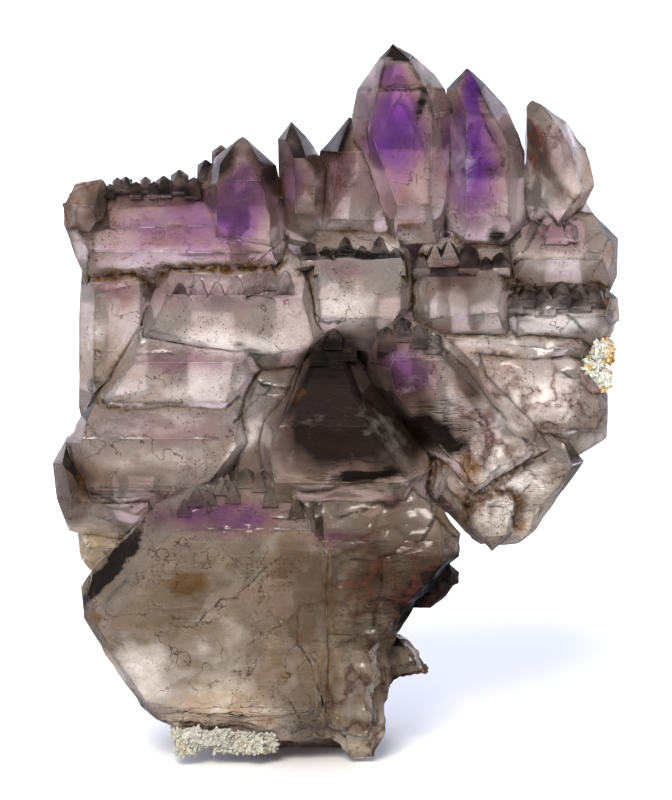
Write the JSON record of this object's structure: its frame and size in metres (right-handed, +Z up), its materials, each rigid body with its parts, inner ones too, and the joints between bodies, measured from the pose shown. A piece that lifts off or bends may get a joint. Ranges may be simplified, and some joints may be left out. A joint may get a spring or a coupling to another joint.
{
  "type": "smoky amethyst crystal cluster",
  "caption": "Upright plate of smoky amethyst quartz crystals grown together in parallel, with toothed crests and patches of white druse, standing on its cut foot.",
  "frame": {"origin": "on the flat cut under the foot, at the middle of the plate's width and depth", "axes": "+Z up along the crystals' c axes, +X to the right seen from the front, -Y out of the front face"},
  "size_m": [0.079, 0.0308, 0.0993],
  "materials": {
    "smoky_amethyst": "clear to smoky violet quartz, glassy natural crystal faces",
    "white_druse": "rough white crust of small grains with yellow iron stain"
  },
  "bodies": {
    "root": {"amethyst_cluster": "smoky_amethyst", "edge_druse": "white_druse", "foot_druse": "white_druse"}
  },
  "joints": []
}
